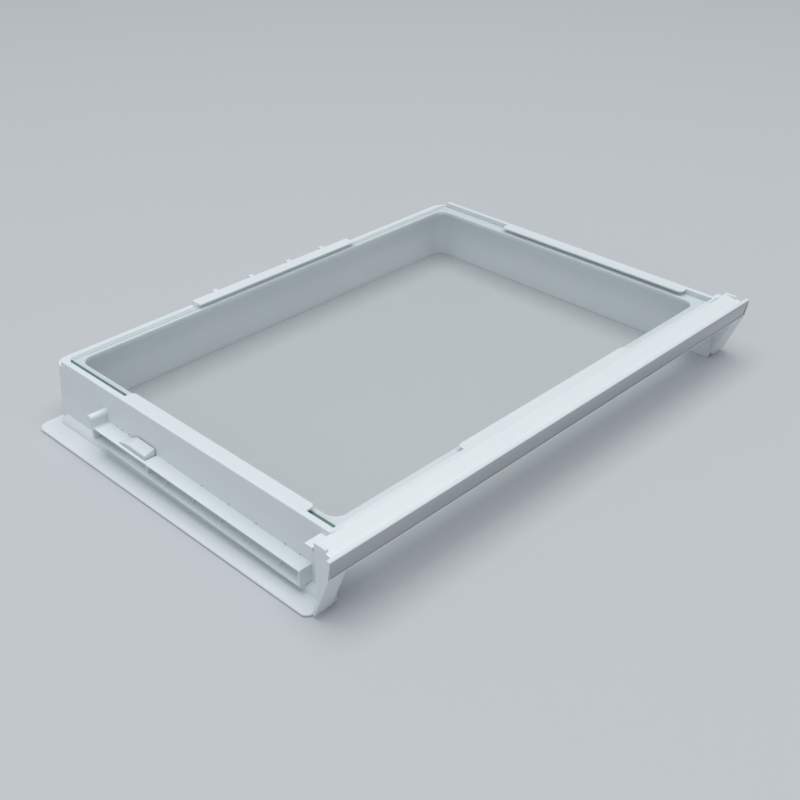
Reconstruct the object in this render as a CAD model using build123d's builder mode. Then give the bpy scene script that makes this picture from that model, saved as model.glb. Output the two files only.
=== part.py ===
"""Slide-out refrigerator shelf: a moulded tray frame with a glass pane, a rear retainer and a front panel.

The shelf lies upside down, as it is laid on a bench: the glass is on top and the side flanges are below.
X runs along the front, Y from the front to the rear, Z up, and the origin is under the middle of the shelf.
"""
import os
from math import hypot

from build123d import *

# Tray of the frame moulding, in millimetres
overall_width = 500.0
tray_width = 454.0
tray_depth = 324.0
side_height = 58.0
rear_step = 4.8
side_flare = 0.8
rear_flare = 1.8
wall = 4.2
rear_corner_radius = 12.5
rear_foot_radius = 6.0
well_corner_radius = 13.0
side_rim_setback = 13.0
front_beam_depth = 17.0
rim_edge = 0.8

# Ledge, rims and the lips that hold the glass
rim_width = 4.8
front_rim_width = 2.2
rear_rim_width = 11.0
side_ledge_reach = 15.2
rear_ledge_reach = 15.2
front_ledge_reach = 12.0
ledge_thickness = 2.5
ledge_corner_radius = 10.0
lip_thickness = 1.3
lip_corner = 2.5
side_lip_reach = 8.0
side_lip_length = 203.0
side_lip_front = 28.0
front_lip_reach = 6.4
front_lip_length = 197.0

# Glass pane
glass_thickness = 4.0
glass_clearance = 0.5
glass_side_clearance = 3.2
glass_lift = 0.2
glass_corner_radius = 3.0
glass_edge_chamfer = 0.4

# Side flanges
flange_thickness = 2.2
flange_rear_radius = 9.0
flange_front_radius = 6.0
flange_edge = 0.6
flange_setback = 0.4
flange_root_radius = 6.0

# Slide runners outside the side walls, which fall towards the front
runner_length = 235.6
runner_front_gap = 19.0
runner_plate = 2.2
runner_edge = 0.9
runner_back = 0.5
runner_reach_rear = 13.9
runner_reach_front = 11.6
runner_top_rear = 29.0
runner_top_front = 22.5
runner_bottom_rear = 17.5
runner_bottom_front = 8.6
floor_rise_rear = 0.6
floor_rise_front = 3.0
rib_thickness = 1.4
rib_pitch = 31.0
rib_lead = 26.0
rib_setback = 1.0
rib_rise = 8.5

# Sprung stop tongue and guide lug on each runner
tongue_lead = 171.0
tongue_length = 32.0
tongue_flat = 21.0
tongue_inner_height = 5.8
tongue_outer_height = 2.6
tongue_slit = 1.2
tongue_beam = 2.0
tongue_wall_setback = 2.5
lug_radius = 2.9
lug_neck = 2.4
lug_height = 8.1
lug_inset = 0.8
lug_overhang = 2.4
lug_edge = 0.8

# Snap tab outside each front corner
tab_reach = 14.6
tab_length = 7.6
tab_setback = 0.8
tab_thickness = 2.2
tab_drop = 4.4
tab_gusset = 1.6

# Rear retainer
retainer_length = 182.0
retainer_setback = 2.0
retainer_overlap = 2.2
retainer_edge = 0.8
hook_width = 5.0
hook_inner_spacing = 44.0
hook_outer_spacing = 126.0
hook_leg = 2.0
hook_gap = 0.3
hook_drop = 4.0
hook_rise = 3.2

# Front panel and its decor strip
panel_reach = 20.0
panel_length = 492.0
panel_plate = 2.4
panel_web_depth = 13.0
panel_edge = 1.0
bead_radius = 2.2
bead_drop = 1.7
strip_thickness = 1.2
strip_height = 10.8
strip_lean = 2.1
strip_gap = 0.2
strip_lip = 1.0
strip_end_wall = 2.0
end_plate_thickness = 2.5
end_plate_inset = 5.0
end_plate_top = 10.5
end_plate_corner = 1.5
foot_width = 18.5
foot_corner_radius = 4.5
foot_lean = 14.9
foot_lift = 0.6

# Heights that follow from those sizes
rear_height = side_height - rear_step
front_sill = side_height - front_beam_depth
lip_bottom = side_height - lip_thickness
glass_top = lip_bottom - glass_lift
ledge_top = glass_top - glass_thickness
ledge_bottom = ledge_top - ledge_thickness

# Places in plan: the shelf is centred between its rear hooks and the bead on its front
hook_reach = rear_flare + hook_gap + hook_leg
rear = (tray_depth + panel_reach - hook_reach) / 2
front = rear - tray_depth
side = tray_width / 2
base_side = side + side_flare
base_rear = rear + rear_flare
recess_side = side - rim_width
recess_rear = rear - rear_rim_width
recess_front = front + front_rim_width
side_rim_end = rear - side_rim_setback
runner_front = front + runner_front_gap
runner_rear = runner_front + runner_length


def tray_outline(half_width, front_edge, rear_edge, corner_radius):
    """Plan outline of the tray or its well, square in front and rounded at the rear."""
    with Locations((0, front_edge)):
        Rectangle(2 * half_width, rear_edge - front_edge, align=(Align.CENTER, Align.MIN))
    fillet(vertices().group_by(Axis.Y)[-1], corner_radius)


def well_outline(height, front_edge):
    """Plan outline of the well at a height, where its walls lean with the outside."""
    share = 1 - height / ledge_bottom
    half_width = side - wall + side_flare * share
    rear_edge = rear - wall + rear_flare * share
    tray_outline(half_width, front_edge, rear_edge, well_corner_radius)


def along_runner(rear_value, front_value, y):
    """A runner size at the place y, on the straight line between its two ends."""
    share = (y - runner_front) / runner_length
    return front_value + (rear_value - front_value) * share


def runner_side(y):
    """How far out the runner's open edge stands at the place y."""
    return side + along_runner(runner_reach_rear, runner_reach_front, y)


def runner_top(y):
    """Height of the runner's sliding face at the place y."""
    return along_runner(runner_top_rear, runner_top_front, y)


def runner_bottom(y):
    """Height of the underside of the runner's lip at the place y."""
    return along_runner(runner_bottom_rear, runner_bottom_front, y)


def runner_section(y):
    """Corners of the runner's C section at the place y, rooted in the wall and thin at its open edges."""
    back = base_side + runner_back
    edge = runner_side(y)
    floor = runner_bottom(y) + runner_edge
    return [
        (side, runner_top(y)),
        (edge, runner_top(y)),
        (edge, runner_top(y) - runner_edge),
        (back, runner_top(y) - runner_plate),
        (back, floor + along_runner(floor_rise_rear, floor_rise_front, y)),
        (edge, floor),
        (edge, runner_bottom(y)),
        (side, runner_bottom(y)),
    ]


# Right slide runner: an inclined C section with gussets, a sprung stop tongue and a guide lug
tongue_front = runner_front + tongue_lead
tongue_root = tongue_front + tongue_length
with BuildPart() as runner:
    for end in (runner_rear, runner_front):
        with BuildSketch(Plane.XZ.offset(-end)):
            with BuildLine():
                Polyline(*runner_section(end), close=True)
            make_face()
    loft(ruled=True)
    # End walls flush with the open edge, and a wall under the tongue's stop that stands back from it
    wall_places = [(runner_front + rib_thickness, rib_thickness, 0.0), (runner_rear, lug_neck, 0.0)]
    wall_places.append((tongue_front - tongue_slit, rib_thickness, tongue_wall_setback))
    for wall_rear, thickness, setback in wall_places:
        wall_front = wall_rear - thickness
        wall_foot = runner_bottom(wall_rear) + runner_edge / 2
        with BuildSketch(Plane.XZ.offset(-wall_rear)):
            with Locations((side, wall_foot)):
                Rectangle(
                    runner_side(wall_front) - setback - side,
                    runner_top(wall_front) - runner_edge / 2 - wall_foot,
                    align=(Align.MIN, Align.MIN),
                )
        extrude(amount=thickness)
    # Gusset ribs stand on the runner's floor, in front of the tongue
    rib_count = int((tongue_lead - tongue_slit - rib_lead) // rib_pitch) + 1
    for number in range(rib_count):
        rib_rear = runner_front + rib_lead + number * rib_pitch
        rib_foot = runner_bottom(rib_rear) + runner_edge / 2
        with BuildSketch(Plane.XZ.offset(-rib_rear)):
            with BuildLine():
                Polyline(
                    (side, rib_foot),
                    (runner_side(rib_rear - rib_thickness) - rib_setback, rib_foot),
                    (side, rib_foot + rib_rise),
                    close=True,
                )
            make_face()
        extrude(amount=rib_thickness)
    # Stop tongue: its top leans outwards, climbs from the root and ends in a square stop at the front
    tongue_back = side
    tongue_edge = runner_side(tongue_front) - tongue_beam
    tongue_crest = tongue_front + tongue_flat
    tongue_sections = [(tongue_front, tongue_inner_height, tongue_outer_height)]
    tongue_sections.append((tongue_crest, tongue_inner_height, tongue_outer_height))
    tongue_sections.append((tongue_root, 0.0, 0.0))
    for place, inner_height, outer_height in tongue_sections:
        with BuildSketch(Plane.XZ.offset(-place)):
            with BuildLine():
                Polyline(
                    (tongue_back, runner_top(place) - runner_plate / 2),
                    (tongue_back, runner_top(place) + inner_height),
                    (tongue_edge, runner_top(place) + outer_height),
                    (tongue_edge, runner_top(place) - runner_plate / 2),
                    close=True,
                )
            make_face()
    loft(ruled=True)
    # Slits beside and in front of the tongue let it spring
    slit_bottom = runner_top(tongue_front) - 2 * runner_plate
    with BuildSketch(Plane.XY.offset(slit_bottom)):
        with Locations((tongue_back, tongue_front)):
            Rectangle(tongue_edge - tongue_back, tongue_slit, align=(Align.MIN, Align.MAX))
        with Locations((tongue_back, tongue_front), (tongue_edge - tongue_slit, tongue_front)):
            Rectangle(tongue_slit, tongue_length, align=(Align.MIN, Align.MIN))
    extrude(amount=3 * runner_plate + tongue_inner_height, mode=Mode.SUBTRACT)
    # Guide lug: the rear end wall rises as a neck, and carries a round pin that overhangs it
    lug_place = runner_rear - lug_neck / 2
    lug_axis = runner_top(lug_place) + lug_height
    neck_side = runner_side(lug_place) - lug_inset
    with BuildSketch(Plane.YZ.offset(side)):
        with Locations((lug_place, lug_axis)):
            Rectangle(lug_neck, lug_height + runner_edge / 2, align=(Align.CENTER, Align.MAX))
    extrude(amount=neck_side - side)
    with BuildSketch(Plane.YZ.offset(side)):
        with Locations((lug_place, lug_axis)):
            Circle(lug_radius)
    extrude(amount=neck_side + lug_overhang - side)
    lug_arc = edges().filter_by(GeomType.CIRCLE).group_by(Axis.X)[-1]
    fillet(lug_arc, lug_edge)

# Right side flange, with rounded outer corners and chamfered edges
with BuildPart() as flange:
    with BuildSketch():
        with Locations((overall_width / 2, front + flange_setback)):
            Rectangle(
                overall_width / 2 - base_side + 2 * rear_foot_radius,
                base_rear - front - 2 * flange_setback,
                align=(Align.MAX, Align.MIN),
            )
        fillet(vertices().group_by(Axis.X)[-1].sort_by(Axis.Y)[-1], flange_rear_radius)
        fillet(vertices().group_by(Axis.X)[-1].sort_by(Axis.Y)[0], flange_front_radius)
    extrude(amount=flange_thickness)
    rim_edges = edges().filter_by(Plane.XY) - edges().filter_by(Axis.Y).group_by(Axis.X)[0]
    chamfer(rim_edges, flange_edge)

# Frame: tray walls, ledge, rims, lips, flanges and both runners in one moulding
with BuildPart() as frame:
    # Drafted outside of the tray, rounded at its rear corners and upright at the front
    with BuildSketch():
        tray_outline(base_side, front, base_rear, rear_foot_radius)
    with BuildSketch(Plane.XY.offset(side_height)):
        tray_outline(side, front, rear, rear_corner_radius)
    loft(ruled=True)
    # The rear wall and its corners are lower than the side rims, so that the glass slides in
    with BuildSketch(Plane.XY.offset(rear_height)):
        with Locations((0, side_rim_end)):
            Rectangle(2 * base_side, base_rear - side_rim_end, align=(Align.CENTER, Align.MIN))
    extrude(amount=side_height - rear_height, mode=Mode.SUBTRACT)
    # Softened outer edges of the rims
    upper_edges = faces().filter_by(Axis.Z).group_by(Axis.Z)[-1].edges()
    lower_edges = faces().filter_by(Axis.Z).group_by(Axis.Z)[-2].edges()
    side_edges = upper_edges.filter_by(Axis.Y)
    rear_edges = lower_edges.filter_by(lambda edge: edge.center().Y > side_rim_end)
    fillet(side_edges + rear_edges, rim_edge)
    add(flange.part)
    add(mirror(flange.part, about=Plane.YZ, mode=Mode.PRIVATE))
    # Hollow roots where the walls run out into the flanges
    root_top = flange_thickness + flange_root_radius
    root_wall = base_side - root_top * side_flare / side_height
    root_foot = base_side + flange_root_radius
    with BuildSketch(Plane.XZ.offset(-(base_rear - rear_corner_radius))):
        with BuildLine():
            RadiusArc((root_wall, root_top), (root_foot, flange_thickness), flange_root_radius)
            Polyline(
                (root_foot, flange_thickness),
                (side - wall / 2, flange_thickness),
                (side - wall / 2, root_top),
                (root_wall, root_top),
            )
        make_face()
        mirror(about=Plane.YZ)
    extrude(amount=base_rear - rear_corner_radius - front)
    # Well under the ledge, open through the front below the sill
    with BuildSketch():
        well_outline(0, front)
    with BuildSketch(Plane.XY.offset(front_sill)):
        well_outline(front_sill, front)
    loft(ruled=True, mode=Mode.SUBTRACT)
    with BuildSketch(Plane.XY.offset(front_sill)):
        well_outline(front_sill, front + wall)
    with BuildSketch(Plane.XY.offset(ledge_bottom)):
        well_outline(ledge_bottom, front + wall)
    loft(ruled=True, mode=Mode.SUBTRACT)
    # Opening inside the ledge
    with BuildSketch(Plane.XY.offset(ledge_bottom)):
        with Locations((0, front + front_ledge_reach)):
            Rectangle(
                2 * (side - side_ledge_reach),
                tray_depth - front_ledge_reach - rear_ledge_reach,
                align=(Align.CENTER, Align.MIN),
            )
        fillet(vertices(), ledge_corner_radius)
    extrude(amount=side_height - ledge_bottom, mode=Mode.SUBTRACT)
    # Recess that takes the glass
    with BuildSketch(Plane.XY.offset(ledge_top)):
        with Locations((0, recess_front)):
            Rectangle(2 * recess_side, recess_rear - recess_front, align=(Align.CENTER, Align.MIN))
    extrude(amount=side_height - ledge_top, mode=Mode.SUBTRACT)
    # Side lips over the glass
    with BuildSketch(Plane.XY.offset(lip_bottom)):
        with Locations((side - rim_width / 2, front + side_lip_front)):
            Rectangle(side_lip_reach + rim_width / 2, side_lip_length, align=(Align.MAX, Align.MIN))
        chamfer(vertices().group_by(Axis.X)[0], lip_corner)
        mirror(about=Plane.YZ)
    extrude(amount=lip_thickness)
    # Front lip over the glass
    with BuildSketch(Plane.XY.offset(lip_bottom)):
        with Locations((0, front)):
            Rectangle(
                front_lip_length,
                front_lip_reach + front_rim_width,
                align=(Align.CENTER, Align.MIN),
            )
        chamfer(vertices().group_by(Axis.Y)[-1], lip_corner)
    extrude(amount=lip_thickness)
    # Snap tabs with a gusset, outside the front corners
    tab_top = side_height - tab_drop
    tab_bottom = tab_top - tab_thickness
    with BuildSketch(Plane.XZ.offset(-(front + tab_setback + tab_length))):
        with Locations((side - wall / 2, tab_top)):
            Rectangle(tab_reach + wall / 2, tab_thickness, align=(Align.MIN, Align.MAX))
        mirror(about=Plane.YZ)
    extrude(amount=tab_length)
    with BuildSketch(Plane.XZ.offset(-(front + tab_setback + tab_gusset))):
        with BuildLine():
            Polyline(
                (side - wall / 2, tab_bottom),
                (side + tab_reach, tab_bottom),
                (side - wall / 2, tab_bottom - tab_reach),
                close=True,
            )
        make_face()
        mirror(about=Plane.YZ)
    extrude(amount=tab_gusset)
    add(runner.part)
    add(mirror(runner.part, about=Plane.YZ, mode=Mode.PRIVATE))

# Glass pane, with a fine chamfer round its ground edges
with BuildPart() as glass_pane:
    with BuildSketch(Plane.XY.offset(ledge_top)):
        with Locations((0, recess_front + glass_clearance)):
            Rectangle(
                2 * (recess_side - glass_side_clearance),
                recess_rear - recess_front - 2 * glass_clearance,
                align=(Align.CENTER, Align.MIN),
            )
        fillet(vertices(), glass_corner_radius)
    extrude(amount=glass_thickness)
    chamfer(faces().sort_by(Axis.Z)[-1].edges(), glass_edge_chamfer)

# Rear retainer: a bar seated on the rear rim, which laps over the glass and hooks behind the wall
retainer_rear = rear - retainer_setback
retainer_front = recess_rear - glass_clearance - retainer_overlap
hook_rear = base_rear + hook_gap + hook_leg
with BuildPart() as rear_retainer:
    with BuildSketch(Plane.YZ.offset(-retainer_length / 2)):
        with BuildLine():
            Polyline(
                (retainer_rear, rear_height),
                (retainer_rear, side_height),
                (retainer_front, side_height),
                (retainer_front, lip_bottom),
                (recess_rear, lip_bottom),
                (recess_rear, rear_height),
                close=True,
            )
        make_face()
    extrude(amount=retainer_length)
    fillet(faces().sort_by(Axis.Z)[-1].edges(), retainer_edge)
    hook_places = [-hook_outer_spacing / 2, -hook_inner_spacing / 2]
    hook_places += [hook_inner_spacing / 2, hook_outer_spacing / 2]
    for hook_place in hook_places:
        with BuildSketch(Plane.YZ.offset(hook_place - hook_width / 2)):
            with BuildLine():
                Polyline(
                    (retainer_rear - hook_width, rear_height),
                    (retainer_rear - hook_width, rear_height + hook_rise),
                    (hook_rear, rear_height + hook_rise),
                    (hook_rear, rear_height - hook_drop),
                    (hook_rear - hook_leg, rear_height - hook_drop),
                    (hook_rear - hook_leg, rear_height),
                    close=True,
                )
            make_face()
        extrude(amount=hook_width)

# Section of the front panel, measured forwards from the frame's front face
bead_height = side_height - bead_drop - bead_radius
bead_place = panel_reach - bead_radius
bead_root = bead_place - bead_radius
strip_top = bead_height - bead_radius
strip_bottom = strip_top - strip_height
strip_face = panel_reach - strip_gap
strip_seat = strip_face - strip_thickness
foot_top = strip_bottom - strip_lip
foot_bottom = flange_thickness + foot_lift
panel_end = panel_length / 2

with BuildPart() as front_panel:
    # Beam: sloping top, bead, leaning face and a rear web against the frame
    with BuildSketch(Plane.YZ.offset(-panel_end)):
        with BuildLine():
            ThreePointArc(
                (front - bead_root, bead_height),
                (front - bead_place, bead_height + bead_radius),
                (front - panel_reach, bead_height),
            )
            Polyline(
                (front - panel_reach, bead_height),
                (front - panel_reach, strip_top),
                (front - panel_reach + strip_lean, foot_top),
                (front - strip_seat + strip_lean + panel_plate, foot_top),
                (front - strip_seat + panel_plate, bead_height - panel_plate),
                (front - panel_plate, side_height - panel_plate),
                (front - panel_plate, side_height - panel_web_depth),
                (front, side_height - panel_web_depth),
                (front, side_height),
                (front - bead_root, bead_height),
            )
        make_face()
    extrude(amount=panel_length)
    fillet(edges().filter_by(Axis.X).sort_by(Axis.Z)[-1], panel_edge)
    # Seat for the decor strip, closed at both ends
    with BuildSketch(Plane.YZ.offset(strip_end_wall - panel_end)):
        with BuildLine():
            Polyline(
                (front - 2 * panel_reach, strip_top),
                (front - strip_seat, strip_top),
                (front - strip_seat + strip_lean, strip_bottom),
                (front - 2 * panel_reach, strip_bottom),
                close=True,
            )
        make_face()
    extrude(amount=panel_length - 2 * strip_end_wall, mode=Mode.SUBTRACT)
    # Past the end plates only the bead and the face under it run on
    plate_outer = panel_end - end_plate_inset
    with BuildSketch():
        with Locations((plate_outer, front - bead_root)):
            Rectangle(end_plate_inset, bead_root, align=(Align.MIN, Align.MIN))
        mirror(about=Plane.YZ)
    extrude(amount=side_height, mode=Mode.SUBTRACT)
    # Feet: a nose that leans back to the flange, stiffened by an inner plate and the end plate
    foot_face = front - panel_reach + strip_lean
    foot_height = foot_top - foot_bottom
    with BuildSketch(Plane.XY.offset(foot_bottom)):
        with Locations((panel_end - foot_width, foot_face + foot_lean)):
            Rectangle(foot_width, panel_plate, align=(Align.MIN, Align.MIN))
            Rectangle(panel_plate, 2 * panel_reach, align=(Align.MIN, Align.MIN))
        with Locations((plate_outer, foot_face + foot_lean)):
            Rectangle(end_plate_thickness, 2 * panel_reach, align=(Align.MAX, Align.MIN))
        fillet(vertices().group_by(Axis.Y)[0].sort_by(Axis.X)[0], foot_corner_radius)
        mirror(about=Plane.YZ)
    extrude(amount=hypot(foot_lean, foot_height), dir=(0, -foot_lean, foot_height))
    split(bisect_by=Plane.XZ.offset(-front), keep=Keep.TOP)
    # End plates behind the bead stiffen the beam and stand above its sloping top
    with BuildSketch(Plane.YZ.offset(plate_outer - end_plate_thickness)):
        with BuildLine():
            Polyline(
                (front, side_height),
                (front - end_plate_top, side_height),
                (front - end_plate_top, foot_top),
                (front, foot_top),
                close=True,
            )
        make_face()
        fillet(vertices().group_by(Axis.Y)[-1].sort_by(Axis.X)[0], end_plate_corner)
    extrude(amount=end_plate_thickness)
    mirror(about=Plane.YZ)

# Decor strip in the panel's seat
with BuildPart() as front_strip:
    strip_upper = strip_top - strip_gap
    strip_lower = strip_bottom + strip_gap
    lean_step = strip_lean * strip_gap / strip_height
    with BuildSketch(Plane.YZ.offset(strip_end_wall + strip_gap - panel_end)):
        with BuildLine():
            Polyline(
                (front - strip_seat + lean_step, strip_upper),
                (front - strip_face + lean_step, strip_upper),
                (front - strip_face + strip_lean - lean_step, strip_lower),
                (front - strip_seat + strip_lean - lean_step, strip_lower),
                close=True,
            )
        make_face()
    extrude(amount=panel_length - 2 * (strip_end_wall + strip_gap))

os.makedirs("parts", exist_ok=True)
frame.part.label = "frame"
export_step(frame.part, "parts/frame.step")
glass_pane.part.label = "glass_pane"
export_step(glass_pane.part, "parts/glass_pane.step")
rear_retainer.part.label = "rear_retainer"
export_step(rear_retainer.part, "parts/rear_retainer.step")
front_panel.part.label = "front_panel"
export_step(front_panel.part, "parts/front_panel.step")
front_strip.part.label = "front_strip"
export_step(front_strip.part, "parts/front_strip.step")
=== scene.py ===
"""Looks of a slide-out refrigerator shelf that lies upside down: glass on top, side flanges on the floor."""
import math

import bpy
import numpy as np
from mathutils import Matrix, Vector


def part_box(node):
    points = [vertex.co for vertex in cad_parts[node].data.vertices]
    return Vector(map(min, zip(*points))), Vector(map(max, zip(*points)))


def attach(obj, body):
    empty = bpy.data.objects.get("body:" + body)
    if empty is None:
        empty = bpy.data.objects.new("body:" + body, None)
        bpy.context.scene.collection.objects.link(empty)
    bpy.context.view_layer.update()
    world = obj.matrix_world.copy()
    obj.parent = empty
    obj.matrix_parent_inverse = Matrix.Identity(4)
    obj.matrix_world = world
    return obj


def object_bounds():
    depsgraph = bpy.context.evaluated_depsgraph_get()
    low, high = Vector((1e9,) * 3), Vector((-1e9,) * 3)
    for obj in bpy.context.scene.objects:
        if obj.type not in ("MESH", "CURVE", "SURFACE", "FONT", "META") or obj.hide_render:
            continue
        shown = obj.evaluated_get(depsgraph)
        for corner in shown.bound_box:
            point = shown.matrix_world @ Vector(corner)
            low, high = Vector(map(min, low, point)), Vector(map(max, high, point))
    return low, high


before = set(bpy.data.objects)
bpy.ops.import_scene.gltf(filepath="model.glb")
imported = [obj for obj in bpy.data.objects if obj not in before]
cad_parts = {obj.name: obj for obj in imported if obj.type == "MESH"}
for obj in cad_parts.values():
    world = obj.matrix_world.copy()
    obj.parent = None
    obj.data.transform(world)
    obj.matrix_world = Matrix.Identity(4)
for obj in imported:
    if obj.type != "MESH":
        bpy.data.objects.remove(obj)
cad_low, cad_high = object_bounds()

# Tray frame: walls, ledge, flanges, runners and lips in one injection moulding of white polystyrene.
# The mould is spark-eroded, which leaves a fine satin on the outside, and polished where it shapes the
# inside of the well, which comes out smoother.


class Wire:
    """One output of a shader node, so that shader maths is written as plain expressions."""

    def __init__(self, socket):
        self.socket = socket

    def node(self, kind, settings=None, sockets=None, output=0):
        """Adds a node of a type, with its settings first and then its sockets' values or links."""
        tree = self.socket.id_data
        made = tree.nodes.new(kind)
        for name, value in (settings or {}).items():
            setattr(made, name, value)
        for name, value in (sockets or {}).items():
            if isinstance(value, Wire):
                tree.links.new(value.socket, made.inputs[name])
            else:
                made.inputs[name].default_value = value
        return Wire(made.outputs[output])

    def maths(self, operation, *others):
        """A Math node on this value and others."""
        values = {place: value for place, value in enumerate((self, *others))}
        return self.node("ShaderNodeMath", {"operation": operation}, values)

    def __add__(self, other):
        return self.maths("ADD", other)

    __radd__ = __add__

    def __mul__(self, other):
        return self.maths("MULTIPLY", other)

    __rmul__ = __mul__

    def __sub__(self, other):
        return self.maths("SUBTRACT", other)

    def __rsub__(self, other):
        return self.maths("MULTIPLY_ADD", -1.0, other)

    def above(self, edge, width):
        """0 below the edge and 1 above it, with a soft step of that width."""
        low, high = edge - width / 2, edge + width / 2
        return self.node(
            "ShaderNodeMapRange",
            {"interpolation_type": "SMOOTHSTEP"},
            {"Value": self, "From Min": low, "From Max": high},
        )

    def blend(self, first, second):
        """The first colour where this is 0, the second where it is 1."""
        settings = {"data_type": "RGBA"}
        return self.node("ShaderNodeMix", settings, {0: self, 6: first, 7: second}, output=2)

    def noise(self, scale, detail=2.0, stretch=(1, 1, 1)):
        """Noise of so many grains per metre on this place, drawn out along an axis where stretch is small."""
        place = self.node("ShaderNodeVectorMath", {"operation": "MULTIPLY"}, {0: self, 1: stretch})
        return place.node("ShaderNodeTexNoise", None, {"Vector": place, "Scale": scale, "Detail": detail})


def new_surface(name):
    """A new node material, its shader, the place on the object and that place's x, y and z."""
    material = bpy.data.materials.new(name)
    material.use_nodes = True
    nodes = material.node_tree.nodes
    shader = nodes["Principled BSDF"]
    place = Wire(nodes.new("ShaderNodeTexCoord").outputs["Object"])
    split = place.node("ShaderNodeSeparateXYZ", None, {"Vector": place})
    parts = [Wire(out) for out in split.socket.node.outputs]
    return material, shader, place, parts


def feed(shader, **values):
    """Sets a shader's sockets, with a link for a Wire; an underscore in a name stands for a space."""
    for name, value in values.items():
        socket = shader.inputs[name.replace("_", " ")]
        if isinstance(value, Wire):
            shader.id_data.links.new(value.socket, socket)
        else:
            socket.default_value = value


def dress(node, material):
    """Gives a CAD node its material."""
    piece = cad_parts[node]
    piece.data.materials.clear()
    piece.data.materials.append(material)
    return piece


PLASTIC_INDEX = 1.55
PLASTIC_SPECULAR = 0.45
GRAIN_DEPTH = 0.00012


def moulded(name, white, shade, satin, polish, polished, grain, foiled=None):
    """White moulded plastic.

    Tone runs between two whites in slow clouds, as melt flows from the gate. Roughness goes from the
    satin to the polish where the polished mask is 1, with faint rub marks drawn out along both ways.
    The grain is two noises added, one of spark craters and one of wider waviness. Where the foiled mask
    is 1, bright foil covers the plastic.
    """
    material, shader, place, parts = new_surface(name)
    clouds = place.noise(14.0, 3.0, (1.0, 0.35, 1.0))
    specks = place.noise(420.0, 1.0).above(0.72, 0.05)
    mask = polished(*parts)
    rubs = place.noise(160.0, 3.0, (1.0, 0.05, 1.0)).above(0.63, 0.10)
    rubs = rubs + place.noise(150.0, 3.0, (0.05, 1.0, 1.0)).above(0.64, 0.10)
    tone = (clouds.above(0.5, 0.5) * 0.8 + specks * 0.2).blend(white, shade)
    rough = satin + mask * (polish - satin) + (clouds - 0.5) * 0.10 + rubs * 0.05
    craters = place.noise(2300.0, 2.0)
    waves = place.noise(90.0, 1.0)
    height = craters * (1 - mask * 0.75) + waves * 1.6
    bump = height.node(
        "ShaderNodeBump", None, {"Strength": grain, "Distance": GRAIN_DEPTH, "Height": height}
    )
    if foiled:
        foil = foiled(*parts)
        tone = foil.blend(tone, FOIL_BRIGHT)
        rough = rough + foil * (FOIL_SATIN - polish)
        feed(shader, Metallic=foil)
    feed(shader, Base_Color=tone, Roughness=rough, Normal=bump)
    feed(shader, IOR=PLASTIC_INDEX, Specular_IOR_Level=PLASTIC_SPECULAR)
    return material


FRAME_WHITE = (0.775, 0.825, 0.845, 1)
FRAME_SHADE = (0.735, 0.79, 0.815, 1)
FRAME_SATIN = 0.46
FRAME_POLISH = 0.30
FRAME_GRAIN = 0.30
WELL_HALF_WIDTH = 0.2236
WELL_REAR = 0.1665
WELL_SOFTNESS = 0.0004


def well_inside(x, y, z):
    """1 on the walls inside the well, which is as wide as its half width on both sides."""
    past_sides = x.maths("ABSOLUTE").above(WELL_HALF_WIDTH, WELL_SOFTNESS)
    return (1 - past_sides) * (1 - y.above(WELL_REAR, WELL_SOFTNESS))


frame_plastic = moulded(
    "frame_plastic", FRAME_WHITE, FRAME_SHADE, FRAME_SATIN, FRAME_POLISH, well_inside, FRAME_GRAIN
)
dress("frame", frame_plastic)

# Ejector marks: the pins that push the moulding out of its mould press on the walls above the runners.
# Each leaves a shallow pit with a burr of plastic round it. The pit's dark colour is painted shade.

MARK_RADIUS = 0.00085
MARK_BURR = 0.00014
MARK_LIFT = 0.00002
MARK_STEPS = 28
MARK_PLACES = np.array([-0.124, -0.109, -0.079, -0.049, -0.019, 0.070, 0.079, 0.086])
MARK_RISE = 0.0012
RUNNER_FRONT, RUNNER_REAR = -0.13505, 0.10055
RUNNER_TOP_FRONT, RUNNER_TOP_REAR = 0.0225, 0.029
WALL_TOP, WALL_FOOT = 0.227, 0.2278
# Dark grey of the painted shade in each pit.
PIT_SHADE = (0.20, 0.23, 0.25, 1)
BURR_WHITE = (0.74, 0.77, 0.785, 1)
BURR_SATIN = 0.42
PIT_DULLNESS = 0.35
PIT_SHARE = 0.52
PIT_SOFTNESS = 0.18


def revolved_marks(places, heights, walls, radii, lifts, steps):
    """Round marks on both side walls.

    A profile of radii and lifts from the wall is turned about the wall's normal: along the wall a point
    lies at the radius times the cosine and sine of its turn, and out from the wall at the lift. The turn
    and the number of the ring are kept as the mark's own UV.
    """
    turns = np.linspace(0.0, 2 * np.pi, steps, endpoint=False)
    sides = np.array([-1.0, 1.0])
    shape = (2, len(places), len(radii), steps)
    x = sides[:, None, None, None] * (walls[None, :, None, None] + lifts[None, None, :, None])
    y = places[None, :, None, None] + radii[None, None, :, None] * np.cos(turns)
    z = heights[None, :, None, None] + radii[None, None, :, None] * np.sin(turns)
    points = np.stack([np.broadcast_to(part, shape) for part in (x, y, z)], axis=-1).reshape(-1, 3)
    number = np.arange(np.prod(shape)).reshape(shape)
    inner, outer = number[:, :, :-1], number[:, :, 1:]
    quads = np.stack([inner, outer, np.roll(outer, -1, axis=3), np.roll(inner, -1, axis=3)], axis=-1)
    quads[0] = quads[0, ..., ::-1]
    ring = np.broadcast_to(np.linspace(0.0, 1.0, len(radii))[None, None, :, None], shape)
    turn = np.broadcast_to(turns / (2 * np.pi), shape)
    uv = np.stack([ring, turn], axis=-1).reshape(-1, 2)
    return points, quads.reshape(-1, 4), uv


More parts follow.
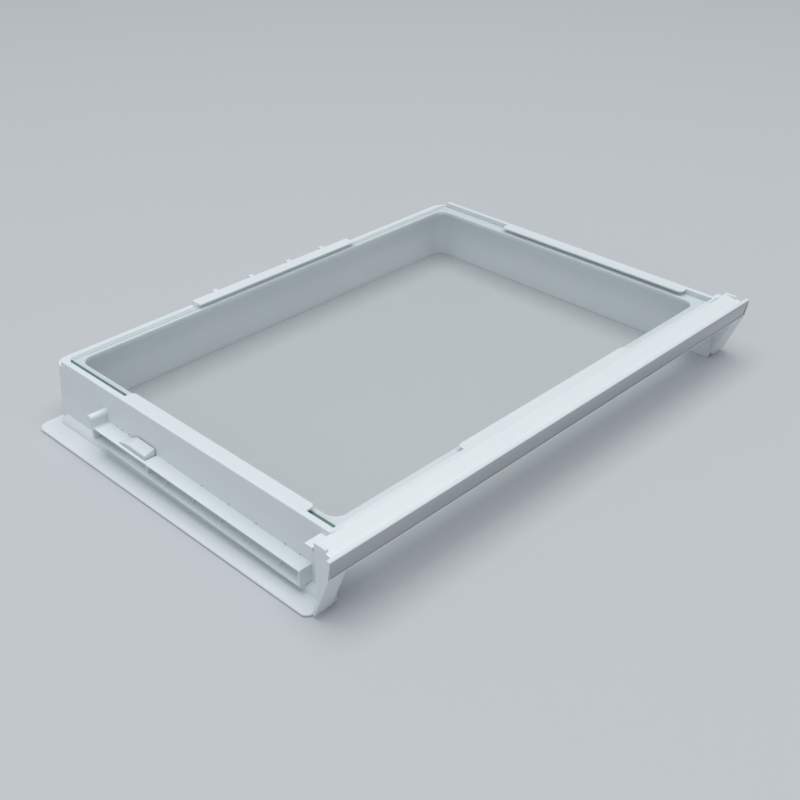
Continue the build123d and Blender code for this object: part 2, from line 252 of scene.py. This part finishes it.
share = (MARK_PLACES - RUNNER_FRONT) / (RUNNER_REAR - RUNNER_FRONT)
heights = RUNNER_TOP_FRONT + (RUNNER_TOP_REAR - RUNNER_TOP_FRONT) * share + MARK_RISE
walls = WALL_FOOT + (WALL_TOP - WALL_FOOT) * heights / cad_high.z
radii = np.array([0.02, 0.30, 0.52, 0.64, 0.78, 0.90, 1.0]) * MARK_RADIUS
lifts = np.array([0.05, 0.05, 0.15, 0.80, 1.0, 0.60, 0.0]) * MARK_BURR + MARK_LIFT
points, quads, uv = revolved_marks(MARK_PLACES, heights, walls, radii, lifts, MARK_STEPS)
mesh = bpy.data.meshes.new("ejector_marks")
mesh.from_pydata(points.tolist(), [], quads.tolist())
layer = mesh.uv_layers.new(name="mark")
layer.data.foreach_set("uv", uv[quads.ravel()].ravel())
mesh.polygons.foreach_set("use_smooth", np.ones(len(quads), dtype=bool))
marks = bpy.data.objects.new("ejector_marks", mesh)
bpy.context.scene.collection.objects.link(marks)
material, shader, place, _ = new_surface("mark_plastic")
own = Wire(place.socket.node.outputs["UV"])
ring = Wire(own.node("ShaderNodeSeparateXYZ", None, {"Vector": own}).socket.node.outputs[0])
ragged = ring + (place.noise(2600.0, 2.0) - 0.5) * 0.3
# Painted shade darkens the pit, out to a ragged ring.
pit_shade = 1 - ragged.above(PIT_SHARE, PIT_SOFTNESS)
feed(
    shader,
    Base_Color=pit_shade.blend(BURR_WHITE, PIT_SHADE),
    Roughness=BURR_SATIN + pit_shade * PIT_DULLNESS,
    IOR=PLASTIC_INDEX,
)
mesh.materials.append(material)
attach(marks, "root")

# Glass pane: 4 mm float glass laid on the ledge, which was measured through it without its refraction. So it
# bends light far less than glass does, to show the ledge where the photograph has it, and a coat gives the
# gloss. Its left edge is dark green, the glass's own green deepened by painted shade, and its other edges are
# pale with painted light; neither is known of the real pane. A thin painted shade lies along the top of the
# edges, where the pane meets the rim.

GLASS_TINT = (0.982, 0.992, 0.988, 1)
# Edge tones: dark green with painted shade for the left edge, pale with painted light for the other edges.
SHADED_GREEN_EDGE = (0.03, 0.115, 0.085, 1)
PAINTED_LIGHT_EDGE = (0.80, 0.87, 0.85, 1)
# Dark grey of the painted shade in the gap between the pane and the rim.
JOINT_SHADE = (0.10, 0.11, 0.11, 1)
EDGE_BAND = 0.0006
JOINT_DEPTH = 0.0007
EDGE_SOFTNESS = 0.0002
EDGE_DULLNESS = 0.30
GLASS_BEND = 1.05
GLASS_INDEX = 1.52
GLASS_GLOSS = 0.01

material, shader, place, (across, along, up) = new_surface("pane_glass")
glass_low, glass_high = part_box("glass_pane")
half_width = (glass_high.x - glass_low.x) / 2
half_depth = (glass_high.y - glass_low.y) / 2
centre_y = (glass_high.y + glass_low.y) / 2
shaded_left_edge = (0 - across).above(half_width - EDGE_BAND, EDGE_SOFTNESS)
far_side = across.above(half_width - EDGE_BAND, EDGE_SOFTNESS)
ends = (along - centre_y).maths("ABSOLUTE").above(half_depth - EDGE_BAND, EDGE_SOFTNESS)
edges = shaded_left_edge.maths("MAXIMUM", far_side).maths("MAXIMUM", ends)
smears = place.noise(26.0, 4.0, (1.0, 0.3, 1.0)).above(0.62, 0.25)
# A thin painted shade along the top of every edge, where the pane meets the rim, stronger or weaker at
# random.
top_band = up.above(glass_high.z - JOINT_DEPTH, EDGE_SOFTNESS)
joint = edges * top_band * (0.45 + place.noise(40.0, 3.0) * 0.7)
# Painted shade on the left edge and painted light on the other edges.
edge_shade_and_light = shaded_left_edge.blend(PAINTED_LIGHT_EDGE, SHADED_GREEN_EDGE)
feed(
    shader,
    Base_Color=joint.blend(edges.blend(GLASS_TINT, edge_shade_and_light), JOINT_SHADE),
    Roughness=0.006 + smears * 0.02 + edges * EDGE_DULLNESS,
    IOR=GLASS_BEND,
    Transmission_Weight=1.0,
    Coat_Weight=1 - edges,
    Coat_IOR=GLASS_INDEX,
    Coat_Roughness=GLASS_GLOSS,
)
through = place.node("ShaderNodeBsdfTransparent", None, {"Color": GLASS_TINT})
lamp_ray = place.node("ShaderNodeLightPath", output=1)
soft_ray = Wire(lamp_ray.socket.node.outputs["Is Diffuse Ray"])
pane = place.node(
    "ShaderNodeMixShader",
    None,
    {0: lamp_ray.maths("MAXIMUM", soft_ray), 1: Wire(shader.outputs[0]), 2: through},
)
material.node_tree.links.new(
    pane.socket, material.node_tree.nodes["Material Output"].inputs["Surface"]
)
dress("glass_pane", material)

# Rear retainer: a slim moulded bar that sits on the rear rim, laps over the glass and hooks behind the wall.
# It comes from another mould than the frame, so its white and its satin differ a little.

RETAINER_WHITE = (0.785, 0.83, 0.85, 1)
RETAINER_SHADE = (0.75, 0.80, 0.82, 1)
RETAINER_SATIN = 0.44
RETAINER_POLISH = 0.30
RETAINER_GRAIN = 0.26
HOOK_FRONT = 0.1685
HOOK_SOFTNESS = 0.001


def hook_legs(x, y, z):
    """1 on the hooks' legs behind the wall, which are polished so that they slide over it."""
    return y.above(HOOK_FRONT, HOOK_SOFTNESS)


retainer_plastic = moulded(
    "retainer_plastic",
    RETAINER_WHITE,
    RETAINER_SHADE,
    RETAINER_SATIN,
    RETAINER_POLISH,
    hook_legs,
    RETAINER_GRAIN,
)
dress("rear_retainer", retainer_plastic)

# Front panel: one moulding with a sloping top, a bead along the front, end plates and two leaning feet.
# The bead is what a hand pulls, so it is polished. The strip is larger in the photograph than the solid one,
# so its bright foil is carried on over the panel's face, up to the bead's front.

PANEL_WHITE = (0.795, 0.84, 0.855, 1)
PANEL_SHADE = (0.76, 0.81, 0.83, 1)
PANEL_SATIN = 0.42
PANEL_POLISH = 0.22
PANEL_GRAIN = 0.24
BEAD_REAR = -0.1697
BEAD_BOTTOM = 0.0515
BEAD_SOFTNESS = 0.001
FACE_KNEE = 0.0519
FACE_LEAN = 2.1 / 11.8
FOIL_TOP = 0.0551
FOIL_BOTTOM = 0.0411
FOIL_DEPTH = 0.0004
FOIL_BRIGHT = (0.50, 0.52, 0.54, 1)
FOIL_SATIN = 0.14
FOIL_EDGE_SOFTNESS = 0.0003
FOIL_DEPTH_SOFTNESS = 0.0002

panel_low, panel_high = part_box("front_panel")


def bead_skin(x, y, z):
    """1 on the bead, which is in front of the sloping top and above the strip."""
    return z.above(BEAD_BOTTOM, BEAD_SOFTNESS) * (1 - y.above(BEAD_REAR, BEAD_SOFTNESS))


def bead_foil(x, y, z):
    """1 on the face that carries foil, from the strip's lower edge to the bead's front.

    The face stands upright above its knee. Below, it leans back by the lean times the depth under the knee.
    """
    face = (FACE_KNEE - z).maths("MAXIMUM", 0.0) * FACE_LEAN + panel_low.y
    on_face = 1 - (y - face).above(FOIL_DEPTH, FOIL_DEPTH_SOFTNESS)
    over_bottom = z.above(FOIL_BOTTOM, FOIL_EDGE_SOFTNESS)
    return on_face * over_bottom * (1 - z.above(FOIL_TOP, FOIL_EDGE_SOFTNESS))


panel_plastic = moulded(
    "panel_plastic",
    PANEL_WHITE,
    PANEL_SHADE,
    PANEL_SATIN,
    PANEL_POLISH,
    bead_skin,
    PANEL_GRAIN,
    bead_foil,
)
dress("front_panel", panel_plastic)

# Rolled rim edge: the frame's front rim ends in an edge that is rolled out over the panel's top.
# It is of one plastic with the frame, and it closes the joint between the two mouldings.

ROLL_HALF_LENGTH = 0.2266
ROLL_STATIONS = 24
ROLL_RADIUS = 0.00265
ROLL_DEPTH = 0.0008
ROLL_BEHIND_JOINT = 0.0002
ROLL_CREST = 0.00005
ROLL_BEFORE_JOINT = 0.0014
ROLL_ARC_POINTS = 6


def rolled_edge(joint, top):
    """The roll's profile of places in depth and height.

    An arc lies over a flat root. Its centre is one radius under the crest, which is just before the joint,
    so that at a distance d from the crest the arc is at the square root of radius squared less d squared.
    """
    depth = np.linspace(joint + ROLL_BEHIND_JOINT, joint - ROLL_BEFORE_JOINT, ROLL_ARC_POINTS)
    from_crest = depth - (joint - ROLL_CREST)
    height = top - ROLL_RADIUS + np.sqrt(ROLL_RADIUS**2 - from_crest**2)
    root = np.array([[depth[0], top - ROLL_DEPTH], [depth[-1], top - ROLL_DEPTH]])
    return np.vstack([root[:1], np.column_stack([depth, height]), root[1:]])


def carried_profile(profile, x):
    """A closed profile of places in depth and height, carried along the places x, with flat ends."""
    count, stations = len(profile), len(x)
    points = np.concatenate(
        [np.repeat(x, count)[:, None], np.tile(profile, (stations, 1))], axis=1
    )
    number = np.arange(stations * count).reshape(stations, count)
    first, second = number[:-1], number[1:]
    quads = np.stack([first, np.roll(first, -1, axis=1), np.roll(second, -1, axis=1), second], axis=-1)
    ends = [number[0, ::-1].tolist(), number[-1].tolist()]
    return points, quads.reshape(-1, 4).tolist() + ends


stations = np.linspace(-ROLL_HALF_LENGTH, ROLL_HALF_LENGTH, ROLL_STATIONS)
points, faces = carried_profile(rolled_edge(panel_high.y, cad_high.z), stations)
mesh = bpy.data.meshes.new("rim_roll")
mesh.from_pydata(points.tolist(), [], faces)
mesh.polygons.foreach_set("use_smooth", np.ones(len(faces), dtype=bool))
roll = bpy.data.objects.new("rim_roll", mesh)
bpy.context.scene.collection.objects.link(roll)
mesh.materials.append(frame_plastic)
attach(roll, "root")

# Beam ends: inside the panel's end plates the hollow beam is closed as far forward as its face.
# They are moulded in one with the panel, and are flush with the end plates.

BEAM_END_OUTER = 0.24098
BEAM_END_INNER = 0.2400
BEAM_END_PROFILE = np.array(
    [
        [-0.16405, 0.03960],
        [-0.16405, 0.05548],
        [-0.16965, 0.05408],
        [-0.17055, 0.05385],
        [-0.17055, 0.04800],
        [-0.16900, 0.03960],
    ]
)

for name, first, last in (
    ("left_beam_end", -BEAM_END_OUTER, -BEAM_END_INNER),
    ("right_beam_end", BEAM_END_INNER, BEAM_END_OUTER),
):
    points, faces = carried_profile(BEAM_END_PROFILE, np.array([first, last]))
    mesh = bpy.data.meshes.new(name)
    mesh.from_pydata(points.tolist(), [], faces)
    beam_end = bpy.data.objects.new(name, mesh)
    bpy.context.scene.collection.objects.link(beam_end)
    mesh.materials.append(panel_plastic)
    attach(beam_end, "root")

# Decor strip: a polystyrene strip with a hot-stamped bright foil, pressed into the panel's seat.
# The foil mirrors what is in front of it, and shows faint lines along the way it was stamped.

STRIP_DULL = (0.42, 0.445, 0.47, 1)
STRIP_SATIN = 0.10
STAMP_STRENGTH = 0.06
STAMP_DEPTH = 0.00005

material, shader, place, _ = new_surface("strip_mirror")
lines = place.noise(900.0, 2.0, (0.02, 1.0, 1.0))
haze = place.noise(18.0, 3.0, (0.4, 1.0, 1.0))
nicks = place.noise(260.0, 2.0, (0.12, 1.0, 1.0)).above(0.74, 0.04)
shine = lines.node(
    "ShaderNodeBump", None, {"Strength": STAMP_STRENGTH, "Distance": STAMP_DEPTH, "Height": lines}
)
feed(
    shader,
    Base_Color=(haze.above(0.5, 0.4) * 0.7 + nicks * 0.3).blend(FOIL_BRIGHT, STRIP_DULL),
    Roughness=STRIP_SATIN + lines * 0.06 + nicks * 0.15,
    Metallic=1.0,
    Normal=shine,
)
dress("front_strip", material)

# Floor: a plain pale sheet of matt card that runs far past the shelf.
# It lies a hair under the flanges, so that the two don't share a plane.

FLOOR_REACH = 12.0
FLOOR_DROP = 0.0003
FLOOR_PALE = (0.56, 0.58, 0.60, 1)
FLOOR_MATT = 0.85
FLOOR_SPECULAR = 0.2

reach = np.array([[-1, -1], [1, -1], [1, 1], [-1, 1]]) * FLOOR_REACH
corners = np.column_stack([reach, np.full(4, cad_low.z - FLOOR_DROP)])
sheet = bpy.data.meshes.new("floor")
sheet.from_pydata(corners.tolist(), [], [(0, 1, 2, 3)])
floor = bpy.data.objects.new("floor", sheet)
bpy.context.scene.collection.objects.link(floor)
material, shader, _, _ = new_surface("floor_pale")
feed(shader, Base_Color=FLOOR_PALE, Roughness=FLOOR_MATT, Specular_IOR_Level=FLOOR_SPECULAR)
sheet.materials.append(material)

# Studio light: a wide soft box overhead, a weaker one from the left and a pale room all round.
# Each lamp has its name, its place, what it is aimed at, its size and its power.

WORLD_PALE = (0.88, 0.94, 1.0, 1)
WORLD_LEVEL = 0.37
LAMPS = [
    ("overhead", (-0.2, -0.2, 4.0), (0.0, 0.0, 0.0), 4.2, 128.0),
    ("left_fill", (-3.6, -0.8, 2.2), (-0.1, 0.0, 0.05), 2.4, 12.0),
]
world = bpy.data.worlds.new("room")
bpy.context.scene.world = world
world.use_nodes = True
world.node_tree.nodes["Background"].inputs["Color"].default_value = WORLD_PALE
world.node_tree.nodes["Background"].inputs["Strength"].default_value = WORLD_LEVEL
for name, where, target, size, power in LAMPS:
    lamp = bpy.data.lights.new(name, "AREA")
    lamp.shape = "SQUARE"
    lamp.size = size
    lamp.energy = power
    holder = bpy.data.objects.new(name, lamp)
    bpy.context.scene.collection.objects.link(holder)
    back = np.array(where) - np.array(target)
    back = back / np.linalg.norm(back)
    side = np.cross((0.0, 1.0, 0.0), back)
    side = side / np.linalg.norm(side)
    turn = np.eye(4)
    turn[:3, :3] = np.column_stack([side, np.cross(back, side), back])
    turn[:3, 3] = where
    holder.matrix_world = Matrix(turn.tolist())
bpy.context.scene.view_settings.view_transform = "Standard"

# Camera: above the front left corner, turned and tilted as in the photograph.
# Its lens has the photograph's focal length, which was fitted in pixels of a picture of that width.

CAMERA_PLACE = (-0.6145, -0.5962, 0.5183)
CAMERA_AZIMUTH = math.radians(-45.54)
CAMERA_ELEVATION = math.radians(31.73)
CAMERA_ROLL = math.radians(-0.22)
CAMERA_SENSOR = 36.0
PICTURE_FOCUS = 1179.59
PICTURE_WIDTH = 800
CAMERA_LENS = CAMERA_SENSOR * PICTURE_FOCUS / PICTURE_WIDTH

level = math.cos(CAMERA_ELEVATION)
back = np.array(
    [math.sin(CAMERA_AZIMUTH) * level, -math.cos(CAMERA_AZIMUTH) * level, math.sin(CAMERA_ELEVATION)]
)
right = np.array([math.cos(CAMERA_AZIMUTH), math.sin(CAMERA_AZIMUTH), 0.0])
upward = np.cross(back, right)
tilt, lean = math.cos(CAMERA_ROLL), math.sin(CAMERA_ROLL)
turn = np.eye(4)
turn[:3, :3] = np.column_stack([tilt * right + lean * upward, tilt * upward - lean * right, back])
turn[:3, 3] = CAMERA_PLACE
lens = bpy.data.cameras.new("camera")
lens.sensor_width = CAMERA_SENSOR
lens.lens = CAMERA_LENS
camera = bpy.data.objects.new("camera", lens)
bpy.context.scene.collection.objects.link(camera)
camera.matrix_world = Matrix(turn.tolist())
bpy.context.scene.camera = camera
